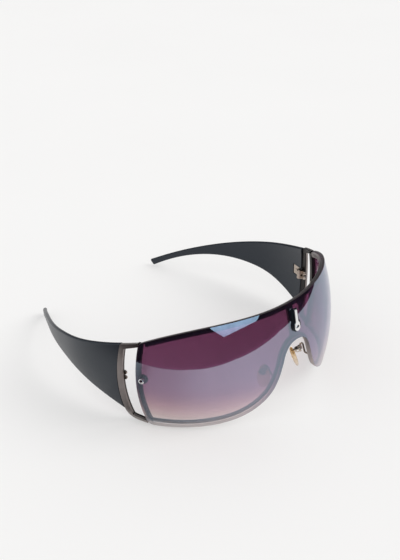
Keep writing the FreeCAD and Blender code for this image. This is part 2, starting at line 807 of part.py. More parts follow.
def right_pad_arm():
    """Bent wire from the nose arch's back to the pad box's plate."""
    up, across, face = pad_axes()
    box_middle = Vector(pad_spread, pad_setback, pad_height)
    edge = lower_edge()
    lengths = spread(0, edge.Length / 2, search_steps)
    spots = [edge.valueAt(edge.getParameterByLength(length)) for length in lengths]
    notch_side = next(spot for spot in spots if spot.y > pad_arm_height)
    root_arc = notch_side.x + rim_inset + rim_width / 2
    root = on_front(root_arc, notch_side.y, rim_back_depth + solder_gap)
    lead = root - front_normal(root_arc, notch_side.y) * pad_arm_start
    behind = box_middle - face * (box_plate_thickness + pad_arm_radius + solder_gap)
    drop = behind + up * pad_arm_lead
    crest = (lead + drop) / 2 + Vector(0, 0, pad_arm_rise)
    return bent_wire([root, lead, crest, drop, behind - up * pad_arm_tail], pad_arm_bend, pad_arm_radius)


def bent_wire(points, bend, radius):
    """Round wire along straight runs joined by tangent arcs."""
    edges = []
    last = points[0]
    for place in range(1, len(points) - 1):
        corner = points[place]
        into = (corner - points[place - 1]).normalize()
        out = (points[place + 1] - corner).normalize()
        half_turn = into.getAngle(out) / 2
        cut = bend * tan(half_turn)
        first = corner - into * cut
        second = corner + out * cut
        middle = corner + (out - into).normalize() * (bend / cos(half_turn) - bend)
        edges.append(Part.makeLine(last, first))
        edges.append(Part.Arc(first, middle, second).toShape())
        last = second
    edges.append(Part.makeLine(last, points[-1]))
    start = (points[1] - points[0]).normalize()
    section = Part.Wire(Part.makeCircle(radius, points[0], start))
    return Part.Wire(edges).makePipeShell([section], True, False)


# All pieces
nodes = {
    "shield_lens": shield_lens(),
    "brow_bar": brow_bar(),
    "nose_arch": nose_arch(),
    "bridge_clip": bridge_clip(),
    "bridge_strut": bridge_strut(),
    "bridge_screw": bridge_screw(),
}
right_pieces = {
    "lower_rim": right_lower_rim(),
    "end_piece": right_end_piece(),
    "lens_screw": right_lens_screw(),
    "lens_bushing": right_lens_bushing(),
    "lens_nut": right_lens_nut(),
    "front_leaf": right_front_leaf(),
    "temple_leaf": right_temple_leaf(),
    "hinge_screw": right_hinge_screw(),
    "leaf_screw": right_leaf_screw(),
    "temple": right_temple(),
    "pad_box": right_pad_box(),
    "pad_screw": right_pad_screw(),
    "pad_tang": right_pad_tang(),
    "nose_pad": right_nose_pad(),
    "pad_arm": right_pad_arm(),
}
for name, shape in right_pieces.items():
    nodes["right_" + name] = shape
    nodes["left_" + name] = mirrored(shape)

# The origin is the middle of the base of the whole box
whole = Part.makeCompound(list(nodes.values())).optimalBoundingBox(False, False)
to_origin = Vector(0, -(whole.YMin + whole.YMax) / 2, -whole.ZMin)

os.makedirs("parts", exist_ok=True)
for name, shape in nodes.items():
    solid = shape.translated(to_origin)
    solid.exportStep("parts/" + name + ".step")
    print(name, len(solid.Solids), solid.isValid(), round(solid.Volume, 3))

pivot = pad_place().multVec(Vector(0, 0, pad_pivot_reach))
print("size", whole.XLength, whole.YLength, whole.ZLength)
print("shift", to_origin)
print("right hinge axis", hinge_axis() + to_origin)
print("right pad pivot", pivot + to_origin, "along", pad_axes()[1])
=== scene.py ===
import json
import math
import bmesh
import bpy
from mathutils import Matrix, Vector


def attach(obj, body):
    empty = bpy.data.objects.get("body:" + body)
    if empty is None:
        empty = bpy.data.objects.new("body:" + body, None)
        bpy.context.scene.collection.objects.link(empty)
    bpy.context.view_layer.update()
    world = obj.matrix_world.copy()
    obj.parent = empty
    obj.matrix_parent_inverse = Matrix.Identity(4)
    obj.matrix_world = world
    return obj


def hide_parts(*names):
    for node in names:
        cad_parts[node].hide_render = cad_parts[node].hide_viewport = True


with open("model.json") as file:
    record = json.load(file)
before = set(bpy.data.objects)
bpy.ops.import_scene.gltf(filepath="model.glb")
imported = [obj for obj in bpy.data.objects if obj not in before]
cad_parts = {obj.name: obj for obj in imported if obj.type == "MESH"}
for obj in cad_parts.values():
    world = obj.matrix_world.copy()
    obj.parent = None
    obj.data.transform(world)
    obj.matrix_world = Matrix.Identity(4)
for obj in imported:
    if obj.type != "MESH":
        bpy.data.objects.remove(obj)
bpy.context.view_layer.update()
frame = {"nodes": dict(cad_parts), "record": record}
nodes = frame["nodes"]
sides = ("left", "right")

# Sizes of the wrapped front, in metres, that the lens, clip and pads follow
wrap_radius = 0.0736
bow_radius = 0.1076
equator_height = 0.0291
front_setback = -0.086452
base_drop = -0.000363
crown_height = 0.0640
notch_height = 0.0438
lens_sizes = {
    "Wrap Radius": wrap_radius,
    "Bow Radius": bow_radius,
    "Equator Height": equator_height,
    "Setback": front_setback,
    "Base Drop": base_drop,
    "Thickness": 0.0018,
    "Half Arc": 0.0859,
    "Side Bulge": 0.0019,
    "Crown Height": crown_height,
    "Brow Fall": 0.0124,
    "Brow Power": 3.35,
    "Corner Height": 0.0516,
    "Notch Height": notch_height,
    "Top Ease": 0.0012,
    "Foot Ease": 0.0030,
    "Edge Ease": 0.00016,
}

# Lower edge of the lens, as shares of the half arc and of the notch height
lower_edge_shares = [
    (0.0, 1.0), (0.012, 0.9988), (0.051, 0.979), (0.090, 0.907), (0.120, 0.756),
    (0.157, 0.558), (0.207, 0.392), (0.283, 0.265), (0.384, 0.1685), (0.512, 0.105),
    (0.675, 0.0615), (0.838, 0.030), (1.0, 0.0023),
]

# Sizes of the bridge clip, with heights measured up the front and rises out from the lens
clip_half_width = 0.0010
clip_head_height = 0.0601
clip_shoulder_radius = 0.0005
clip_waist = 0.00045
clip_waist_height = 0.0527
clip_lobe_radius = 0.0019
clip_lobe_height = 0.0508
clip_lobe_length = 0.0013
clip_lobe_rise = 0.00133
clip_head_rise = 0.0018
clip_gap = 0.00005
clip_base_margin = 0.0014
clip_base_lift = 0.0009
clip_base_rise = 0.0005

# Sizes and lean of the nose pads, each on the axes of its own face
pad_splay = math.radians(30)
pad_flare = math.radians(18)
pad_aside = 0.0140
pad_behind = 0.0114
pad_below_notch = 0.0182
pad_slide = 0.0036
pad_stand = 0.0039
pad_half_length = 0.0063
pad_half_width = 0.0033
pad_half_thickness = 0.0012
pad_clear_height = 0.014
pad_amber_height = 0.027


# Small tools for node trees
def add(tree, kind, inputs=None, **settings):
    """A new node, with its settings and inputs given as values or as sockets to link."""
    made = tree.nodes.new(kind)
    for name, value in settings.items():
        setattr(made, name, value)
    for name, value in (inputs or {}).items():
        if isinstance(value, bpy.types.NodeSocket):
            tree.links.new(value, made.inputs[name])
        else:
            made.inputs[name].default_value = value
    return made


def new_material(name):
    """An empty material, its tree, and Object coordinates to draw on."""
    material = bpy.data.materials.new(name)
    material.use_nodes = True
    tree = material.node_tree
    tree.nodes.clear()
    place = add(tree, "ShaderNodeTexCoord").outputs["Object"]
    return material, tree, place


def surfaced(material, shader):
    """The material, with a shader on its output."""
    add(material.node_tree, "ShaderNodeOutputMaterial", {"Surface": shader.outputs[0]})
    return material


def mixed(tree, factor, first, second):
    """Shader between two shaders."""
    return add(tree, "ShaderNodeMixShader", {0: factor, 1: first.outputs[0], 2: second.outputs[0]})


def parts_of(tree, place):
    """The X, Y and Z of a vector."""
    return add(tree, "ShaderNodeSeparateXYZ", {"Vector": place}).outputs


def ramp(tree, factor, stops, interpolation="LINEAR"):
    """Colour ramp through (position, colour) stops."""
    made = add(tree, "ShaderNodeValToRGB", {"Fac": factor})
    made.color_ramp.interpolation = interpolation
    while len(made.color_ramp.elements) < len(stops):
        made.color_ramp.elements.new(1)
    for element, (position, colour) in zip(made.color_ramp.elements, stops):
        element.position = position
        element.color = (*colour, 1)
    return made.outputs["Color"]


def noise(tree, place, scale, detail=3, roughness=0.5):
    """Cloudy pattern, with its scale in repeats to the metre."""
    made = add(tree, "ShaderNodeTexNoise", {
        "Vector": place, "Scale": scale, "Detail": detail, "Roughness": roughness})
    return made.outputs["Fac"]


def between(tree, factor, low, high, start=0.0, end=1.0):
    """A number that runs from low to high while a factor runs from start to end."""
    made = add(tree, "ShaderNodeMapRange", {
        "Value": factor, "From Min": start, "From Max": end, "To Min": low, "To Max": high})
    return made.outputs["Result"]


def blended(tree, factor, first, second):
    """Colour between two colours."""
    made = add(tree, "ShaderNodeMix", data_type="RGBA")
    tree.links.new(factor, made.inputs[0])
    made.inputs[6].default_value = (*first, 1)
    made.inputs[7].default_value = (*second, 1)
    return made.outputs[2]


def bump(tree, height, distance):
    """Normal of a surface that a pattern raises by a distance."""
    made = add(tree, "ShaderNodeBump", {"Height": height, "Distance": distance, "Strength": 1.0})
    return made.outputs["Normal"]


def calc(tree, operation, *values):
    """One sum on numbers or sockets."""
    return add(tree, "ShaderNodeMath", dict(enumerate(values)), operation=operation).outputs[0]


def total(tree, *values):
    """Sum of several numbers or sockets."""
    result = values[0]
    for value in values[1:]:
        result = calc(tree, "ADD", result, value)
    return result


def product(tree, *values):
    """Product of several numbers or sockets."""
    result = values[0]
    for value in values[1:]:
        result = calc(tree, "MULTIPLY", result, value)
    return result


# Finishes
def gradient_lens():
    """Plum lens that clears towards its lower edge, under a thin blue mirror coat with faint smudges."""
    tint_stops = [
        (0.0, (0.99, 0.95, 0.91)), (0.10, (0.97, 0.865, 0.815)), (0.20, (0.865, 0.665, 0.66)),
        (0.30, (0.695, 0.485, 0.53)), (0.40, (0.58, 0.365, 0.475)), (0.60, (0.525, 0.31, 0.435)),
        (1.0, (0.465, 0.23, 0.35)),
    ]
    material, tree, place = new_material("gradient_lens")
    cloud = between(tree, noise(tree, place, scale=22, detail=2), -0.02, 0.02)
    share = calc(tree, "ADD", calc(tree, "DIVIDE", parts_of(tree, place)["Z"], crown_height), cloud)
    clear = add(tree, "ShaderNodeBsdfTransparent", {"Color": ramp(tree, share, tint_stops, "B_SPLINE")})
    smudges = noise(tree, place, scale=130, detail=4, roughness=0.6)
    coat = add(tree, "ShaderNodeBsdfPrincipled", {
        "Base Color": blended(tree, smudges, (0.60, 0.76, 0.92), (0.66, 0.80, 0.94)),
        "Metallic": 1.0,
        "Roughness": between(tree, smudges, 0.012, 0.035),
    })
    facing = add(tree, "ShaderNodeLayerWeight", {"Blend": 0.5}).outputs["Facing"]
    mirror = between(tree, calc(tree, "POWER", facing, 4.0), 0.27, 0.9)
    fade = between(tree, share, 0.72, 1.0, start=0.08, end=0.48)
    return surfaced(material, mixed(tree, product(tree, mirror, fade), clear, coat))


def lens_cut_edge():
    """Sawn and part-polished edge of the lens, dark at the brow and pale taupe at the foot."""
    shade_stops = [
        (0.0, (0.54, 0.475, 0.45)), (0.3, (0.42, 0.365, 0.355)), (0.62, (0.13, 0.105, 0.11)),
        (0.9, (0.045, 0.034, 0.038)),
    ]
    material, tree, place = new_material("lens_cut_edge")
    share = calc(tree, "DIVIDE", parts_of(tree, place)["Z"], crown_height)
    saw = noise(tree, place, scale=1400, detail=2)
    sawn = add(tree, "ShaderNodeBsdfPrincipled", {
        "Base Color": ramp(tree, share, shade_stops, "EASE"),
        "Roughness": between(tree, saw, 0.40, 0.55),
        "Specular IOR Level": 0.3,
        "Normal": bump(tree, saw, 0.00002),
    })
    clear = add(tree, "ShaderNodeBsdfTransparent", {"Color": (0.97, 0.90, 0.87, 1)})
    clearness = between(tree, share, 0.40, 0.0, start=0.05, end=0.5)
    return surfaced(material, mixed(tree, clearness, sawn, clear))


def depth_behind_front(tree, place):
    """How far a spot lies behind the wrapped front's face."""
    centre = (0, front_setback + wrap_radius, base_drop + equator_height)
    moved = add(tree, "ShaderNodeVectorMath", {0: place, 1: centre}, operation="SUBTRACT")
    spot = parts_of(tree, moved.outputs[0])
    aside = total(tree, product(tree, spot["X"], spot["X"]), product(tree, spot["Y"], spot["Y"]))
    reach = calc(tree, "SUBTRACT", calc(tree, "SQRT", aside), wrap_radius - bow_radius)
    away = total(tree, product(tree, reach, reach), product(tree, spot["Z"], spot["Z"]))
    return calc(tree, "SUBTRACT", bow_radius, calc(tree, "SQRT", away))


def metal(name, colour, wear_colour, roughness, grain, paint_inner_shade=False):
    """Metal with a fine grain, uneven polish and some wear, and at need painted shade that darkens its inner
    side towards black.
    """
    inner_shade_start, inner_shade_end, inner_shade_factor = 0.0012, 0.0017, 0.10
    grain_stretch = (1, 1, 12)
    material, tree, place = new_material(name)
    patches = noise(tree, place, scale=260)
    shade = ramp(tree, patches, [(0.35, colour), (0.72, wear_colour)])
    # Painted shade: the inner side, behind the front's face, is darkened to a tenth of its colour
    if paint_inner_shade:
        depth = depth_behind_front(tree, place)
        inner_shade_scale = between(tree, depth, 1.0, inner_shade_factor, start=inner_shade_start, end=inner_shade_end)
        shade = add(tree, "ShaderNodeVectorMath", {0: shade, 1: inner_shade_scale}, operation="MULTIPLY").outputs[0]
    stretched = add(tree, "ShaderNodeMapping", {"Vector": place, "Scale": grain_stretch}).outputs["Vector"]
    lines = noise(tree, stretched, scale=900, detail=2)
    shader = add(tree, "ShaderNodeBsdfPrincipled", {
        "Base Color": shade,
        "Metallic": 1.0,
        "Roughness": between(tree, patches, roughness * 0.8, roughness * 1.25),
        "Normal": bump(tree, lines, grain),
    })
    return surfaced(material, shader)


def moulded_plastic(name, colour, lighter, roughness, gloss=0.47):
    """Satin moulded plastic with a fine mould texture and faint handling marks."""
    material, tree, place = new_material(name)
    clouds = noise(tree, place, scale=45, detail=4)
    pores = noise(tree, place, scale=2600, detail=2)
    shader = add(tree, "ShaderNodeBsdfPrincipled", {
        "Base Color": blended(tree, clouds, colour, lighter),
        "Roughness": between(tree, clouds, roughness * 0.85, roughness * 1.2),
        "IOR": 1.5,
        "Specular IOR Level": gloss,
        "Specular Tint": (0.84, 0.92, 1.0, 1),
        "Normal": bump(tree, pores, 0.00002),
    })
    return surfaced(material, shader)


def clear_silicone():
    """Clear silicone that has yellowed to amber round the pad's core, with a soft skin."""
    shade_stops = [(0.1, (0.97, 0.92, 0.86)), (0.55, (0.97, 0.85, 0.64)), (0.9, (0.95, 0.68, 0.33))]
    material, tree, place = new_material("amber_silicone")
    clouds = noise(tree, place, scale=300, detail=3)
    height = parts_of(tree, place)["Z"]
    share = between(tree, height, 0.0, 1.0, start=pad_clear_height, end=pad_amber_height)
    share = calc(tree, "ADD", share, between(tree, clouds, -0.08, 0.08))
    shade = ramp(tree, share, shade_stops)
    skin = add(tree, "ShaderNodeBsdfPrincipled", {
        "Base Color": shade,
        "Roughness": between(tree, clouds, 0.16, 0.28),
        "IOR": 1.41,
        "Transmission Weight": 0.8,
        "Normal": bump(tree, clouds, 0.00003),
    })
    clear = add(tree, "ShaderNodeBsdfTransparent", {"Color": shade})
    lamps = add(tree, "ShaderNodeLightPath").outputs["Is Shadow Ray"]
    through = mixed(tree, between(tree, share, 0.72, 0.35), skin, clear)
    return surfaced(material, mixed(tree, lamps, through, clear))


grey, worn_grey = (0.26, 0.228, 0.218), (0.32, 0.285, 0.272)
finishes = {
    "tinted_lens": gradient_lens(),
    "gunmetal": metal("gunmetal", grey, worn_grey, 0.34, 0.000006),
    # Gunmetal with painted shade darkening its inner side, for the end pieces
    "gunmetal_with_painted_shade": metal("gunmetal_with_painted_shade", grey, worn_grey, 0.34, 0.000006, paint_inner_shade=True),
    "bright_metal": metal("bright_metal", (0.80, 0.80, 0.81), (0.88, 0.88, 0.88), 0.09, 0.000001),
    "hinge_metal": metal("hinge_metal", (0.46, 0.385, 0.325), (0.55, 0.475, 0.41), 0.26, 0.000004),
    "nylon": moulded_plastic("nylon", (0.60, 0.60, 0.58), (0.70, 0.70, 0.68), 0.45),
    "temple_plastic": moulded_plastic("temple_plastic", (0.010, 0.013, 0.019), (0.015, 0.018, 0.025), 0.32),
    "amber_silicone": clear_silicone(),
    "clip_base": moulded_plastic(
        "black_clip_base", (0.004, 0.005, 0.008), (0.007, 0.008, 0.012), 0.30, gloss=0.22),
}
for row in frame["record"]["subparts"]:
    mesh = nodes[row["node"]].data
    mesh.materials.clear()
    # End pieces take the gunmetal with painted shade on their inner side
    slot = "gunmetal_with_painted_shade" if row["node"].endswith("end_piece") else row["material_slot"]
    mesh.materials.append(finishes[slot])


# Pieces
def on_front(arc, height, depth):
    """Point at an arc, height and depth on the wrapped front."""
    rise = math.asin((height - equator_height) / bow_radius)
    reach = wrap_radius - bow_radius + (bow_radius - depth) * math.cos(rise)
    turn = arc / wrap_radius
    return Vector((
        reach * math.sin(turn),
        wrap_radius - reach * math.cos(turn) + front_setback,
        equator_height + (bow_radius - depth) * math.sin(rise) + base_drop,
    ))


def lower_edge(tree, aside):
    """Height of the lens's lower edge, as a share of the notch height, at a share of the half arc."""
    outline = add(tree, "ShaderNodeFloatCurve", {"Value": aside})
    line = outline.mapping.curves[0]
    line.points[0].location = lower_edge_shares[0]
    line.points[1].location = lower_edge_shares[-1]
    for share in lower_edge_shares[1:-1]:
        line.points.new(*share)
    outline.mapping.update()
    return outline.outputs[0]


def eased_corner(tree, radius, arc, edge_arc, height, gap, sign):
    """Arc and height of a flat point, drawn in round a corner of the lens that a gap up or down leads to."""
    side_gap = calc(tree, "SUBTRACT", edge_arc, arc)
    near_side = calc(tree, "MAXIMUM", calc(tree, "SUBTRACT", 1, calc(tree, "DIVIDE", side_gap, radius)), 0)
    near_end = calc(tree, "MAXIMUM", calc(tree, "SUBTRACT", 1, calc(tree, "DIVIDE", gap, radius)), 0)
    squares = total(tree, product(tree, near_side, near_side), product(tree, near_end, near_end), 1e-9)
    keep = calc(tree, "DIVIDE", calc(tree, "MAXIMUM", near_side, near_end), calc(tree, "SQRT", squares))
    pull = calc(tree, "MULTIPLY", calc(tree, "SUBTRACT", 1, keep), radius)
    arc = calc(tree, "SUBTRACT", arc, calc(tree, "MULTIPLY", pull, near_side))
    height = calc(tree, "MULTIPLY_ADD", calc(tree, "MULTIPLY", pull, near_end), sign, height)
    return arc, height


def wrapped_place(tree, size, side, arc, height, depth):
    """Place on the wrapped and bowed front of a flat point at an arc, height and depth."""
    turn = product(tree, calc(tree, "DIVIDE", arc, size["Wrap Radius"]), calc(tree, "SIGN", side))
    above = calc(tree, "SUBTRACT", height, size["Equator Height"])
    rise = calc(tree, "ARCSINE", calc(tree, "DIVIDE", above, size["Bow Radius"]))
    radius = calc(tree, "SUBTRACT", size["Bow Radius"], depth)
    reach = total(tree, product(tree, radius, calc(tree, "COSINE", rise)), size["Wrap Radius"],
                  calc(tree, "MULTIPLY", size["Bow Radius"], -1))
    ahead = calc(tree, "SUBTRACT", size["Wrap Radius"], product(tree, reach, calc(tree, "COSINE", turn)))
    lift = product(tree, radius, calc(tree, "SINE", rise))
    return add(tree, "ShaderNodeCombineXYZ", {
        "X": product(tree, reach, calc(tree, "SINE", turn)),
        "Y": calc(tree, "ADD", ahead, size["Setback"]),
        "Z": total(tree, lift, size["Equator Height"], size["Base Drop"]),
    }).outputs[0]


def lens_tree(face_material, edge_material):
    """A block of rows and columns, drawn to the lens's outline when flat, then wrapped and bowed."""
    tree = bpy.data.node_groups.new("wrapped_lens", "GeometryNodeTree")
    tree.interface.new_socket("Geometry", in_out="OUTPUT", socket_type="NodeSocketGeometry")
    for name, value in lens_sizes.items():
        tree.interface.new_socket(name, in_out="INPUT", socket_type="NodeSocketFloat").default_value = value
    size = add(tree, "NodeGroupInput").outputs
    block = add(tree, "GeometryNodeMeshCube", {
        "Size": (2, 1, 1), "Vertices X": 341, "Vertices Y": 5, "Vertices Z": 61})

    # The block's edge faces are marked before it changes shape
    level = calc(tree, "ABSOLUTE", parts_of(tree, add(tree, "GeometryNodeInputNormal").outputs[0])["Y"])
    rim = add(tree, "FunctionNodeCompare", {0: level, 1: 0.5}, data_type="FLOAT", operation="LESS_THAN")
    kept = add(tree, "GeometryNodeCaptureAttribute", {"Geometry": block.outputs["Mesh"]}, domain="FACE")
    kept.capture_items.new("BOOLEAN", "rim")
    tree.links.new(rim.outputs[0], kept.inputs["rim"])

    # Flat outline, with edges eased towards both faces
    spot = parts_of(tree, add(tree, "GeometryNodeInputPosition").outputs[0])
    aside = calc(tree, "ABSOLUTE", spot["X"])
    row = calc(tree, "ADD", spot["Z"], 0.5)
    layer = calc(tree, "ADD", spot["Y"], 0.5)
    depth = add(tree, "ShaderNodeMapRange", {
        "Value": layer, "To Max": size["Thickness"]}, interpolation_type="SMOOTHSTEP").outputs[0]
    skin = calc(tree, "POWER", calc(tree, "ABSOLUTE", calc(tree, "MULTIPLY", spot["Y"], 2)), 8)
    ease = calc(tree, "MULTIPLY", skin, size["Edge Ease"])
    low = calc(tree, "MULTIPLY_ADD", lower_edge(tree, aside), size["Notch Height"], ease)
    droop = calc(tree, "POWER", aside, size["Brow Power"])
    fall = calc(tree, "MULTIPLY_ADD", droop, size["Brow Fall"], ease)
    high = calc(tree, "SUBTRACT", size["Crown Height"], fall)
    height = calc(tree, "MULTIPLY_ADD", row, calc(tree, "SUBTRACT", high, low), low)

    # Sides that bulge out at the equator
    above = calc(tree, "SUBTRACT", height, size["Equator Height"])
    corner = calc(tree, "SUBTRACT", size["Corner Height"], size["Equator Height"])
    bowed = calc(tree, "DIVIDE", above, corner)
    swell = calc(tree, "SUBTRACT", 1, calc(tree, "MULTIPLY", bowed, bowed))
    bulge = calc(tree, "SUBTRACT", calc(tree, "MULTIPLY", swell, size["Side Bulge"]), ease)
    out = calc(tree, "MULTIPLY_ADD", calc(tree, "POWER", aside, 6), bulge, size["Half Arc"])
    edge_arc = calc(tree, "ADD", size["Half Arc"], bulge)
    arc = calc(tree, "MULTIPLY", aside, out)

    # Rounded corners, both measured from the height before either is rounded
    top_gap = calc(tree, "SUBTRACT", high, height)
    foot_gap = calc(tree, "SUBTRACT", height, low)
    arc, height = eased_corner(tree, size["Top Ease"], arc, edge_arc, height, top_gap, -1)
    arc, height = eased_corner(tree, size["Foot Ease"], arc, edge_arc, height, foot_gap, 1)

    place = wrapped_place(tree, size, spot["X"], arc, height, depth)
    shaped = add(tree, "GeometryNodeSetPosition", {"Geometry": kept.outputs["Geometry"], "Position": place})
    smooth = add(tree, "GeometryNodeSetShadeSmooth", {"Geometry": shaped.outputs[0], "Shade Smooth": True})
    bend = add(tree, "GeometryNodeInputMeshEdgeAngle").outputs["Unsigned Angle"]
    sharp = add(tree, "FunctionNodeCompare", {0: bend, 1: 0.7}, data_type="FLOAT", operation="GREATER_THAN")
    crisp = add(tree, "GeometryNodeSetShadeSmooth", {
        "Geometry": smooth.outputs[0], "Selection": sharp.outputs[0], "Shade Smooth": False}, domain="EDGE")
    real = add(tree, "GeometryNodeRealizeInstances", {"Geometry": crisp.outputs[0]})
    faced = add(tree, "GeometryNodeSetMaterial", {"Geometry": real.outputs[0], "Material": face_material})
    edged = add(tree, "GeometryNodeSetMaterial", {
        "Geometry": faced.outputs[0], "Selection": kept.outputs["rim"], "Material": edge_material})
    add(tree, "NodeGroupOutput", {0: edged.outputs[0]})
    return tree


def placed(name, mesh):
    """An object at the origin for a mesh."""
    made = bpy.data.objects.new(name, mesh)
    bpy.context.scene.collection.objects.link(made)
    return made


def grown(name, tree, sizes):
    """Plain mesh piece from a node tree, with its named sizes set."""
    piece = placed(name, bpy.data.meshes.new(name))
    modifier = piece.modifiers.new(name, "NODES")
    modifier.node_group = tree
    for socket in tree.interface.items_tree:
        if socket.in_out == "INPUT" and socket.name in sizes:
            modifier[socket.identifier] = sizes[socket.name]
    mesh = bpy.data.meshes.new_from_object(piece.evaluated_get(bpy.context.evaluated_depsgraph_get()))
    piece.modifiers.remove(modifier)
    piece.data = mesh
    return piece


def meshed(name, points, faces, material):
    """Smooth closed piece from points and faces, with its normals outwards."""
    mesh = bpy.data.meshes.new(name)
    mesh.from_pydata(points, [], faces)
    shape = bmesh.new()
    shape.from_mesh(mesh)
    bmesh.ops.recalc_face_normals(shape, faces=shape.faces)
    shape.to_mesh(mesh)
    shape.free()
    mesh.shade_smooth()
    mesh.materials.append(material)
    return placed(name, mesh)


def banded(first, count, rows):
    """Faces between rows of points, each row a closed ring of the same count."""
    faces = []
    for row in range(rows - 1):
        low, high = first + row * count, first + (row + 1) * count
        for i in range(count):
            j = (i + 1) % count
            faces.append((low + i, low + j, high + j, high + i))
    return faces


def add_shell(rings, points, faces):
    """A closed shell through rings, added to a piece's points and faces."""
    first, count = len(points), len(rings[0])
    for ring in rings:
        points.extend(ring)
    faces.extend(banded(first, count, len(rings)))
    faces.append(tuple(range(first, first + count)))
    faces.append(tuple(range(len(points) - count, len(points))))


def clip_outline(inset, margin, lobe_height, lobe_length):
    """Outline of the clip, a stem with rounded shoulders and a lobe, drawn in or out all round."""
    shoulder_steps, waist_steps, lobe_steps, foot_steps = 5, 3, 8, 12
    waist_flare_share, waist_drop_share = 0.12, 1.6
    half = clip_half_width + margin - inset
    lobe = clip_lobe_radius + margin - inset
    shoulder_arc = half - clip_shoulder_radius
    shoulder_height = clip_head_height - inset - clip_shoulder_radius
    neck_height = lobe_height + lobe_length
    meet = math.acos(half / lobe)
    line = []
    for step in range(shoulder_steps + 1):
        angle = math.pi / 2 * (1 - step / shoulder_steps)
        line.append((shoulder_arc + clip_shoulder_radius * math.cos(angle),
                     shoulder_height + clip_shoulder_radius * math.sin(angle)))
    for step in range(waist_steps + 1):
        share = step / waist_steps
        line.append((half + clip_waist * waist_flare_share * share,
                     neck_height + lobe * math.sin(meet) + clip_waist * (1 - share) * waist_drop_share))
    for step in range(1, lobe_steps + 1):
        angle = meet * (1 - step / lobe_steps)
        line.append((lobe * math.cos(angle), neck_height + lobe * math.sin(angle)))
    for step in range(1, foot_steps + 1):
        angle = -math.pi / 2 * step / foot_steps
        line.append((lobe * math.cos(angle), lobe_height + lobe * math.sin(angle)))
    return line + [(-arc, height) for arc, height in reversed(line[:-1])]


def clip_rise(height):
    """How far the clip's face stands out, least at its lobe and most at its head."""
    slope = max((height - clip_waist_height) / (clip_head_height - clip_waist_height), 0)
    return clip_lobe_rise + (clip_head_rise - clip_lobe_rise) * slope


def bridge_clip():
    """Bright clip with eased edges on a black base; its face slopes in a little towards the lobe."""
    base_easing = ((0.0, clip_base_rise), (0.0, 0.00012), (0.00004, 0.00004), (0.00012, 0.0))
    clip_easing = ((0.0, 0.00026), (0.00003, 0.00012), (0.00010, 0.00004), (0.00020, 0.0), (0.00026, 0.0))
    base_rings = []
    for inset, under in base_easing:
        outline = clip_outline(inset, clip_base_margin, clip_lobe_height + clip_base_lift, 0.0)
        depth = under - clip_gap - clip_base_rise
        base_rings.append([on_front(arc, height, depth) for arc, height in outline])
    outline = clip_outline(0.0, 0.0, clip_lobe_height, clip_lobe_length)
    clip_rings = [[on_front(arc, height, -clip_gap - clip_base_rise) for arc, height in outline]]
    for inset, under in clip_easing:
        outline = clip_outline(inset, 0.0, clip_lobe_height, clip_lobe_length)
        depth = under - clip_gap
        clip_rings.append([on_front(arc, height, depth - clip_rise(height)) for arc, height in outline])

    points, faces = [], []
    add_shell(base_rings, points, faces)
    base_faces = len(faces)
    add_shell(clip_rings, points, faces)
    piece = meshed("bright_bridge_clip", points, faces, finishes["bright_metal"])
    piece.data.materials.append(finishes["clip_base"])
    for face in piece.data.polygons[:base_faces]:
        face.material_index = 1
    return piece


def soft_pad(side):
    """Crowned silicone pad, fuller at its foot, on the pad's own axes."""
    around, rows = 48, 20
    crown_power, spread_power = 0.85, 0.62
    foot_fullness, back_hollow = 0.13, 0.10
    sign = 1 if side == "right" else -1
    level = Vector((-sign * math.cos(pad_splay), math.sin(pad_splay), 0))
    upright = Vector((0, 0, 1))
    face = level * math.cos(pad_flare) - upright * math.sin(pad_flare)
    up = upright * math.cos(pad_flare) + level * math.sin(pad_flare)
    across = face.cross(up)
    pivot = Vector((
        sign * pad_aside, pad_behind + front_setback, notch_height - pad_below_notch + base_drop))
    middle = pivot - up * pad_slide + face * pad_stand
    points = []
    for row in range(1, rows):
        lean = math.pi * row / rows - math.pi / 2
        crown = math.copysign(abs(math.sin(lean)) ** crown_power, lean)
        spread = math.cos(lean) ** spread_power
        hollow = back_hollow * (1 - spread ** 2) if crown < 0 else 0
        for step in range(around):
            turn = 2 * math.pi * step / around
            along = math.sin(turn) * spread
            wide = math.cos(turn) * spread * (1 - foot_fullness * along)
            flat = middle + up * pad_half_length * along + across * pad_half_width * wide
            points.append(flat + face * pad_half_thickness * (crown + hollow))
    faces = banded(0, around, rows - 1)
    for row, end in ((0, back_hollow - 1), (rows - 2, 1.0)):
        points.append(middle + face * pad_half_thickness * end)
        for step in range(around):
            faces.append((row * around + step, row * around + (step + 1) % around, len(points) - 1))
    return meshed(side + "_soft_pad", points, faces, finishes["amber_silicone"])


wrapped_lens = grown("wrapped_lens", lens_tree(finishes["tinted_lens"], lens_cut_edge()), lens_sizes)
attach(wrapped_lens, "front")
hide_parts("shield_lens")

clip = bridge_clip()
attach(clip, "front")
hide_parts("bridge_clip")

for side in sides:
    pad = soft_pad(side)
    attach(pad, side + "_pad")
    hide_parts(side + "_nose_pad")


# Floor, cards and light
def staged(name, points, faces, material):
    """Floor or card of the set, which is no part of the glasses."""
    mesh = bpy.data.meshes.new(name)
    mesh.from_pydata(points, [], faces)
    mesh.update()
    mesh.materials.append(material)
    made = placed(name, mesh)
    return made


def mirrored_only(card):
    """A card beside the set that only shows in mirrored surfaces."""
    card.visible_camera = False
    card.visible_diffuse = False
    card.visible_shadow = False
    card.visible_transmission = False


